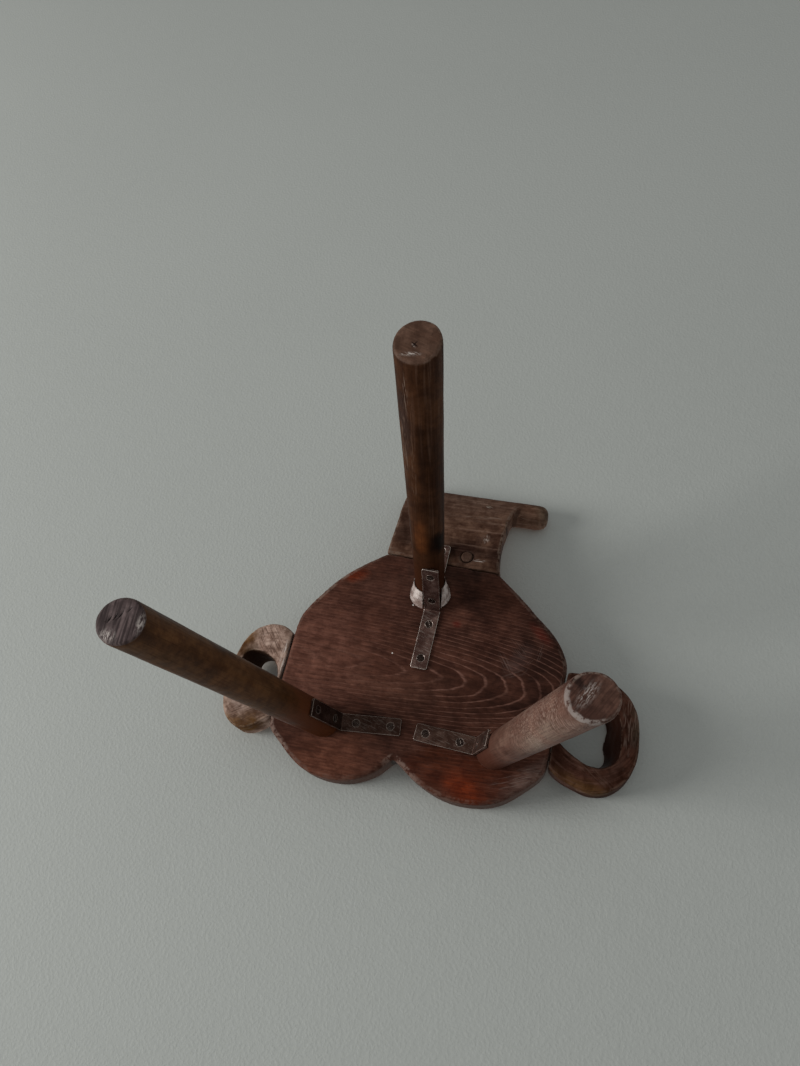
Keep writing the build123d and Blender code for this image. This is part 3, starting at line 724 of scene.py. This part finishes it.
def streaky(name, coordinates, dark, light, pale, patches=(), scuffs=(), stretch=(9.0, 110.0, 110.0),
            streak_amount=0.6, pale_amount=0.5, blotches=0.5, worn=(0.28, 0.21, 0.17), extra=None, **finish):
    tree = Tree(name)
    grain = coordinates(tree)
    cloud = tree.noise(tree.place(), scale=24.0, detail=4.0, roughness=0.62, distortion=0.3)
    mottle = tree.noise(tree.place(), scale=90.0, detail=4.0, roughness=0.65)
    fibre = tree.stretched(grain, fibre_scales, detail=4.0, roughness=0.6)
    streak = tree.stretched(grain, stretch, detail=3.0, roughness=0.6)
    color = tree.mix(tree.spread(cloud, *stain_range), dark, light)
    color = tree.paint(color, patches, cloud, patch_solid)
    color = tree.tint(tree.spread(streak, *dark_streaks, 0.0, streak_amount), color, dim_tint)
    color = tree.mix(tree.spread(streak, *pale_streaks, 0.0, pale_amount), color, pale)
    color = tree.tint(tree.spread(mottle, *blotch_range, blotches, 0.0), color, dim_tint)
    color = tree.mix(tree.spread(fibre, *dark_fibres, 0.0, fibre_amount), color, shade(dark, 0.5))
    color = tree.paint(color, scuffs, mottle, scuff_solid,
                       lambda direction: tree.scratches(direction, 700.0, 60.0, low=0.48, high=0.6))
    if extra is not None:
        color = extra(tree, color, cloud, mottle)
    height = tree.math("ADD", tree.product(fibre, 0.5), tree.product(streak, 0.5))
    return finish_wood(tree, color, dark, fibre, cloud, height, worn, **finish)


def painted_hole_shade(middle, reach, tint):
    """Paints shade on the walls of a hand hole."""
    def extra(tree, color, cloud, mottle):
        amount = tree.product(tree.inner_wall(middle, reach), tree.spread(mottle, 0.25, 0.45, 0.75, 0.96))
        return tree.mix(amount, color, tint)
    return extra


def straight(direction, origin=(0, 0, 0)):
    """Coordinates that run along a direction."""
    return lambda tree: tree.frame(direction, origin)


# The way round a loop, an angle, is made a length at this distance from its middle
loop_radius = 0.05


def round_loop(middle):
    """Coordinates that run round a loop's middle: the way round, then the distance out, then the height."""
    def coordinates(tree):
        x, y, z = tree.split(tree.vector("SUBTRACT", tree.place(), middle))
        out = tree.math("SQRT", tree.math("MULTIPLY_ADD", x, x, tree.product(y, y)))
        return tree.combine(tree.product(tree.math("ARCTAN2", y, x), loop_radius), out, z)
    return coordinates


knob_end = vertex_points(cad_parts["curved_back"].data)[:, 0].min()
back_patches = [
    ((-0.020, 0.106, 0.364), (0.095, 0.026, 0.03), (1, 0, 0), (0.020, 0.0085, 0.006), 0.95),
    ((-0.036, 0.128, 0.368), (0.020, 0.012, 0.03), (1, 0, 0), (0.030, 0.015, 0.012), 0.6),
    ((-0.02, 0.19, 0.40), (0.09, 0.05, 0.05), (1, 0, 0), (0.150, 0.086, 0.060), 0.6),
    ((-0.105, 0.197, 0.413), (0.03, 0.03, 0.03), (1, 0, 0), (0.125, 0.088, 0.058), 0.7),
    ((0.075, 0.125, 0.368), (0.03, 0.04, 0.03), (0, 1, 0), (0.045, 0.025, 0.018), 0.6),
    # The dark mark on the knob's end is painted shade on its rounded end
    ((knob_end, 0.197, 0.413), (0.007, 0.022, 0.022), (1, 0, 0), (0.022, 0.018, 0.012), 0.9),
    ((-0.060, 0.152, 0.385), (0.018, 0.0016, 0.03), (0.2, 1, 0.5), (0.010, 0.005, 0.003), 0.9),
]
back_scuffs = [
    ((-0.0286, 0.1898, 0.397), (0.008, 0.003, 0.01), (1, 0.4, 0), (0.34, 0.28, 0.23), 0.8),
    ((-0.058, 0.190, 0.409), (0.050, 0.0035, 0.01), (1, 0.15, 0), (0.25, 0.18, 0.14), 0.7),
    ((-0.020, 0.165, 0.385), (0.060, 0.0040, 0.01), (1, -0.1, 0), (0.22, 0.155, 0.12), 0.7),
    ((-0.037, 0.128, 0.368), (0.010, 0.006, 0.01), (0.2, 1, 0), (0.32, 0.26, 0.22), 0.8),
    ((-0.0356, 0.093, 0.3624), (0.012, 0.003, 0.01), (1, 0, 0), (0.5, 0.44, 0.4), 0.9),
]


def back_material():
    return streaky(
        "back_wood", straight((1, 0, 0)),
        dark=(0.060, 0.028, 0.0180), light=(0.140, 0.077, 0.051), pale=(0.225, 0.145, 0.108),
        patches=back_patches, scuffs=back_scuffs, stretch=(7.0, 120.0, 120.0), pale_amount=0.5, blotches=0.85,
        worn=(0.16, 0.115, 0.088), wear_low=0.5, specular=0.02, crease=(0.042, 0.022, 0.015))


def loop_right_material():
    return streaky(
        "loop_right_wood", round_loop((0.205, -0.11, 0.38)),
        dark=(0.130, 0.078, 0.056), light=(0.46, 0.330, 0.268), pale=(0.52, 0.40, 0.335),
        patches=[
            ((0.264, -0.115, 0.385), (0.11, 0.028, 0.050), (0, 1, 0), (0.095, 0.041, 0.011), 1.0),
            ((0.228, -0.050, 0.380), (0.040, 0.016, 0.022), (1, 0.2, 0), (0.130, 0.068, 0.026), 0.8),
            ((0.222, -0.176, 0.372), (0.080, 0.024, 0.032), (1, 0, 0), (0.110, 0.050, 0.012), 1.0),
            ((0.250, -0.068, 0.366), (0.050, 0.022, 0.030), (-1, 1, 0), (0.105, 0.046, 0.012), 1.0),
            ((0.236, -0.150, 0.363), (0.016, 0.012, 0.02), (1, 0.5, 0), (0.36, 0.27, 0.23), 0.6),
            ((0.240, -0.078, 0.366), (0.024, 0.013, 0.03), (-1, 0.9, 0), (0.050, 0.024, 0.009), 0.95)],
        scuffs=[
            # The pale line along the joint with the seat is a worn edge with a painted highlight
            ((0.193, -0.090, 0.362), (0.05, 0.005, 0.02), (0, 1, 0), (0.62, 0.54, 0.49), 0.8),
            ((0.218, -0.055, 0.364), (0.05, 0.026, 0.03), (0.8, 1, 0), (0.095, 0.055, 0.040), 0.8),
            ((0.222, -0.165, 0.364), (0.05, 0.026, 0.03), (-0.9, 0.6, 0), (0.080, 0.045, 0.030), 0.8)],
        pale_amount=0.1, streak_amount=0.4, blotches=0.9, worn=(0.34, 0.24, 0.17), wear_low=0.6,
        wear_amount=0.4, relief=0.5 * MM, specular=0.01,
        extra=painted_hole_shade((0.217, -0.110, 0.0), 0.048, (0.018, 0.007, 0.003)))


def loop_left_material():
    return streaky(
        "loop_left_wood", round_loop((-0.205, -0.10, 0.38)),
        dark=(0.026, 0.0100, 0.0060), light=(0.070, 0.0300, 0.0200), pale=(0.140, 0.078, 0.060),
        patches=[
            ((-0.262, -0.08, 0.375), (0.06, 0.02, 0.03), (0, 1, 0), (0.052, 0.040, 0.027), 0.85),
            ((-0.204, -0.168, 0.366), (0.055, 0.016, 0.025), (1, 0.26, 0), (0.088, 0.044, 0.0150), 0.85),
            ((-0.240, -0.135, 0.363), (0.040, 0.008, 0.02), (-0.6, 1, 0), (0.075, 0.038, 0.028), 0.7),
            ((-0.185, -0.128, 0.363), (0.022, 0.010, 0.02), (-0.8, -0.6, 0), (0.022, 0.008, 0.004), 0.8)],
        scuffs=[
            ((-0.205, -0.143, 0.362), (0.05, 0.012, 0.02), (-0.8, -0.6, 0), (0.13, 0.082, 0.06), 0.3),
            ((-0.249, -0.08, 0.362), (0.06, 0.016, 0.02), (0, 1, 0), (0.13, 0.088, 0.070), 0.6)],
        stretch=(9.0, 150.0, 60.0), blotches=0.9, worn=(0.15, 0.095, 0.07), wear_low=0.6, wear_amount=0.4,
        relief=0.5 * MM, specular=0.01,
        extra=painted_hole_shade((-0.199, -0.100, 0.0), 0.062, (0.017, 0.0055, 0.003)))


# Legs: grain along the leg, a sawn foot with scratches and pale flecks, and a stained upper end. The axis
# runs between the mean points of the lowest and the highest share of the leg's height
lowest_share = 0.01
highest_share = 0.02


def leg_axis(node):
    """Direction of a leg from its foot to its tenon, and the foot's centre."""
    points = vertex_points(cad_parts[node].data)
    low, high = points[:, 2].min(), points[:, 2].max()
    span = high - low
    foot = points[points[:, 2] < low + lowest_share * span].mean(0)
    top = points[points[:, 2] > high - highest_share * span].mean(0)
    return tuple(Vector(top - foot)), tuple(Vector(foot))


# The sawn end's look ends this far up the leg, and the upper end's stain comes in raggedly round its start
sole_start = 1.5 * MM
sole_end = 3.0 * MM
top_ragged = 0.10
top_below = 0.02
top_above = 0.06
top_amount = 0.85
saw_scales = (25.0, 420.0, 420.0)
grit_scales = (170.0, 650.0, 650.0)
grit_range = (0.46, 0.60)
mark_solid = 0.3
grit_solid = 0.2


def foot_end(ground, dark, saw_direction, saw_amount, flecks, top_tint, top_start, marks=()):
    """The sawn end of a leg, and the stain of its upper end."""
    def extra(tree, color, cloud, mottle):
        z = tree.split(tree.place())[2]
        ragged = tree.product(tree.math("SUBTRACT", tree.math("ADD", mottle, cloud), 1.0), top_ragged)
        high = tree.spread(tree.math("ADD", z, ragged), top_start - top_below, top_start + top_above)
        color = tree.mix(tree.product(high, top_amount), color, top_tint)
        along = tree.frame(saw_direction, (0, 0, 0))
        saw = tree.stretched(along, saw_scales, detail=2.0)
        grit = tree.stretched(along, grit_scales, detail=4.0, roughness=0.7)
        end = tree.mix(tree.spread(cloud, 0.35, 0.65), dark, ground)
        end = tree.mix(tree.spread(saw, 0.42, 0.62, 0.0, saw_amount), end, shade(dark, 0.35))
        end = tree.mix(tree.spread(saw, 0.42, 0.3, 0.0, saw_amount * 0.5), end, shade(ground, 1.6))
        end = tree.mix(tree.spread(mottle, 0.4, 0.6, 0.5, 0.0), end, shade(dark, 0.5))
        end = tree.paint(end, marks, mottle, mark_solid)
        end = tree.paint(end, flecks, grit, grit_solid, lambda direction: tree.spread(grit, *grit_range))
        return tree.mix(tree.spread(z, sole_start, sole_end, 1.0, 0.0), color, end)
    return extra


chalk = (0.52, 0.46, 0.42)
soot = (0.006, 0.0035, 0.003)


def leg_right_material():
    along, foot = leg_axis("leg_right")
    return streaky(
        "leg_right_wood", straight(along, foot),
        dark=(0.052, 0.0205, 0.0066), light=(0.100, 0.0430, 0.0155), pale=(0.095, 0.048, 0.022),
        patches=[
            ((0.190, -0.180, 0.05), (0.09, 0.03, 0.03), along, (0.055, 0.0260, 0.0105), 0.6),
            ((0.205, -0.140, 0.08), (0.12, 0.02, 0.02), along, (0.085, 0.0460, 0.0230), 0.5)],
        stretch=(6.0, 60.0, 60.0), pale_amount=0.35, streak_amount=0.5, blotches=0.7, relief=0.14 * MM,
        roughness=0.5, specular=0.10, wear_amount=0.5, worn=(0.11, 0.075, 0.055),
        extra=foot_end(
            # The foot's grey sawn end is partly a painted reflection
            ground=(0.105, 0.076, 0.073), dark=(0.060, 0.040, 0.039), saw_direction=(0.06, 1, 0),
            saw_amount=0.8, top_tint=(0.072, 0.0190, 0.0062), top_start=0.235,
            flecks=[
                ((0.2275, -0.176, 0), (0.012, 0.010, 0.01), (1, 0, 0), chalk, 0.9),
                ((0.200, -0.160, 0), (0.007, 0.016, 0.01), (1, 0, 0), chalk, 0.6)],
            marks=[
                ((0.2308, -0.1600, 0), (0.006, 0.0011, 0.01), (-0.30, 1, 0), soot, 1.0),
                ((0.2262, -0.1575, 0), (0.005, 0.0010, 0.01), (-0.38, 1, 0), soot, 1.0),
                ((0.2218, -0.1550, 0), (0.006, 0.0010, 0.01), (-0.42, 1, 0), soot, 1.0),
                ((0.2150, -0.1490, 0), (0.005, 0.0009, 0.01), (-0.60, 1, 0), soot, 0.9)]))


def leg_left_material():
    along, foot = leg_axis("leg_left")
    return streaky(
        "leg_left_wood", straight(along, foot),
        dark=(0.078, 0.0340, 0.0235), light=(0.150, 0.079, 0.057), pale=(0.185, 0.112, 0.083),
        patches=[
            # The pale beige band along the leg's -Y side is partly painted highlight
            ((-0.147, -0.188, 0.10), (0.16, 0.026, 0.05), along, (0.225, 0.168, 0.124), 0.85),
            ((-0.140, -0.150, 0.12), (0.13, 0.016, 0.03), along, (0.105, 0.045, 0.032), 0.7)],
        scuffs=[
            ((-0.150, -0.165, 0.13), (0.04, 0.16, 0.16), (0.5, -0.45, 0.55), (0.27, 0.19, 0.15), 0.6),
            ((-0.150, -0.165, 0.06), (0.04, 0.16, 0.16), (-0.5, -0.45, 0.60), (0.25, 0.175, 0.14), 0.6),
            ((-0.120, -0.165, 0.18), (0.03, 0.16, 0.16), (-0.2, -0.45, 0.85), (0.23, 0.150, 0.115), 0.5)],
        stretch=(8.0, 80.0, 80.0), pale_amount=0.4, relief=0.18 * MM, wear_amount=0.6,
        worn=(0.22, 0.17, 0.14),
        extra=foot_end(
            ground=(0.118, 0.060, 0.043), dark=(0.054, 0.0250, 0.0182), saw_direction=(-0.5, 0.87, 0),
            saw_amount=0.4, top_tint=(0.060, 0.0180, 0.0100), top_start=0.265,
            flecks=[((-0.1903, -0.1539, 0), (0.020, 0.0085, 0.01), (-0.5, 0.87, 0), chalk, 0.6)],
            marks=[((-0.1815, -0.1440, 0), (0.012, 0.006, 0.01), (0.5, 0.8, 0), soot, 0.7)]),
        # Pale rims on the foot's edge towards the key lamp: worn edges with a painted highlight
        bright_rims=[
            ((-0.1800, -0.1640, 0.001), (0.024, 0.012, 0.01), (-0.7, -1, 0), (0.200, 0.165, 0.150), 0.8),
            ((-0.1950, -0.1750, 0.001), (0.020, 0.010, 0.01), (-1, -0.2, 0), (0.230, 0.195, 0.175), 0.8)])


def leg_back_material():
    along, foot = leg_axis("leg_back")
    return streaky(
        "leg_back_wood", straight(along, foot),
        dark=(0.029, 0.0100, 0.0036), light=(0.058, 0.0230, 0.0095), pale=(0.105, 0.058, 0.038),
        patches=[
            ((0.031, 0.115, 0.085), (0.08, 0.010, 0.02), along, (0.034, 0.019, 0.015), 0.7),
            ((0.022, 0.058, 0.232), (0.042, 0.014, 0.02), along, (0.105, 0.034, 0.010), 0.85),
            ((0.001, 0.062, 0.250), (0.034, 0.014, 0.02), along, (0.006, 0.003, 0.002), 0.95),
            ((0.014, 0.095, 0.130), (0.110, 0.006, 0.02), along, (0.016, 0.006, 0.003), 0.6)],
        scuffs=[
            ((0.0265, 0.128, 0.040), (0.040, 0.0045, 0.02), along, (0.17, 0.115, 0.085), 0.7),
            ((0.0330, 0.112, 0.110), (0.060, 0.0060, 0.03), along, (0.12, 0.076, 0.054), 0.7),
            ((0.0240, 0.100, 0.130), (0.080, 0.0050, 0.03), along, (0.10, 0.060, 0.040), 0.5)],
        stretch=(5.0, 130.0, 130.0), pale_amount=0.45, wear_amount=0.6, worn=(0.17, 0.115, 0.085),
        extra=foot_end(
            ground=(0.135, 0.076, 0.052), dark=(0.078, 0.040, 0.026), saw_direction=(1, 0.4, 0),
            saw_amount=0.25, top_tint=(0.034, 0.0095, 0.0035), top_start=0.268,
            flecks=[
                ((0.0190, 0.1620, 0), (0.005, 0.0016, 0.01), (1, 1, 0), chalk, 0.7),
                ((0.0200, 0.1520, 0), (0.016, 0.004, 0.01), (1, -0.1, 0), chalk, 0.8)],
            marks=[
                ((0.0185, 0.1640, 0), (0.006, 0.0009, 0.01), (1, 0.7, 0), soot, 0.9),
                ((0.0185, 0.1640, 0), (0.006, 0.0009, 0.01), (-0.6, 1, 0), soot, 0.9)]))


def peg_material():
    return streaky("peg_wood", straight((0, 0, 1)), dark=(0.048, 0.025, 0.017), light=(0.085, 0.048, 0.033),
                   pale=(0.12, 0.075, 0.055), stretch=(60.0, 260.0, 260.0))


# Steel: dull bronzed sheet with scratches, pits and bright worn edges. An edge is where the bevelled normal
# turns away from the face's own
scratch_amount = 0.16
pit_range = (0.62, 0.76)
pit_amount = 0.4
edge_turn = (0.01, 0.12)
bevel_samples = 6
steel_relief = 0.10 * MM


def steel(name, base, bright, edge_color, roughness, edge_radius):
    tree = Tree(name)
    place = tree.place()
    cloud = tree.noise(place, scale=70.0, detail=4.0, roughness=0.6)
    pit = tree.noise(place, scale=700.0, detail=2.0)
    scratch = tree.scratches((1, 0.3, 0), fine=1200.0, long=90.0, low=0.58, high=0.66)
    cross = tree.scratches((-0.4, 1, 0.3), fine=1200.0, long=120.0, low=0.62, high=0.70)
    color = tree.mix(tree.spread(cloud, 0.4, 0.7), base, bright)
    color = tree.mix(tree.product(tree.math("MAXIMUM", scratch, cross), scratch_amount), color, edge_color)
    color = tree.mix(tree.spread(pit, *pit_range, 0.0, pit_amount), color, shade(base, 0.5))
    soft = tree.add("ShaderNodeBevel", {"Radius": edge_radius}, {"samples": bevel_samples})
    turn = tree.math("SUBTRACT", 1.0, tree.dot(soft, tree.geometry("True Normal")))
    edge = tree.product(tree.spread(turn, *edge_turn), tree.spread(cloud, 0.3, 0.5, 0.45, 1.0))
    color = tree.mix(edge, color, edge_color)
    height = tree.math("SUBTRACT", tree.product(cloud, 0.4), tree.product(pit, 0.6))
    normal = tree.bump(height, steel_relief, normal=soft)
    gloss = tree.spread(tree.math("ADD", cloud, pit), 0.7, 1.3, roughness - 0.1, roughness + 0.15)
    return tree.surface(principled(tree, color, gloss, normal, metallic=0.9))


# Filler: hard glossy paste with dark dirty spots
def filler_material():
    tree = Tree("filler")
    place = tree.place()
    cloud = tree.noise(place, scale=90.0, detail=4.0, roughness=0.6)
    stain = tree.noise(place, scale=260.0, detail=3.0, roughness=0.6)
    color = tree.mix(tree.spread(cloud, 0.35, 0.65), (0.20, 0.14, 0.12), (0.56, 0.49, 0.45))
    color = tree.mix(tree.spread(stain, 0.55, 0.72, 0.0, 0.7), color, (0.045, 0.022, 0.015))
    normal = tree.bump(tree.math("ADD", cloud, tree.product(stain, 0.4)), 1.6 * MM)
    return tree.surface(principled(tree, color, 0.2, normal, coat=0.3, coat_roughness=0.15))


# Every node's material. The front brackets are darker than the two on the back leg
finishes = {
    "seat_board": seat_material(),
    "curved_back": back_material(),
    "loop_right": loop_right_material(),
    "loop_left": loop_left_material(),
    "leg_right": leg_right_material(),
    "leg_left": leg_left_material(),
    "leg_back": leg_back_material(),
    "filler_collar": filler_material(),
    "bracket_left": steel(
        "left_bracket_steel", base=(0.072, 0.0340, 0.0245), bright=(0.140, 0.078, 0.060),
        edge_color=(0.62, 0.51, 0.45), roughness=0.45, edge_radius=1.0 * MM),
    "bracket_right": steel(
        "dark_bracket_steel", base=(0.040, 0.0175, 0.0120), bright=(0.085, 0.045, 0.034),
        edge_color=(0.52, 0.42, 0.37), roughness=0.45, edge_radius=1.0 * MM),
}
bracket_steel = steel(
    "bracket_steel", base=(0.110, 0.054, 0.044), bright=(0.205, 0.122, 0.102),
    edge_color=(0.95, 0.84, 0.76), roughness=0.38, edge_radius=1.1 * MM)
screw_steel = steel(
    "screw_steel", base=(0.026, 0.014, 0.011), bright=(0.060, 0.037, 0.030),
    edge_color=(0.40, 0.32, 0.28), roughness=0.42, edge_radius=0.4 * MM)
peg_finish = peg_material()
for node in ("bracket_back_inner", "bracket_back_outer"):
    finishes[node] = bracket_steel
for node in ("screws_left", "screws_right", "screws_back_inner", "screws_back_outer"):
    finishes[node] = screw_steel
for node in ("back_pins", "leg_wedges", "loop_dowels_left", "loop_dowels_right"):
    finishes[node] = peg_finish

for node, cad_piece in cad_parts.items():
    pieces = [cad_piece, carved[node]] if node in carved else [cad_piece]
    for piece in pieces:
        piece.data.materials.clear()
        piece.data.materials.append(finishes[node])
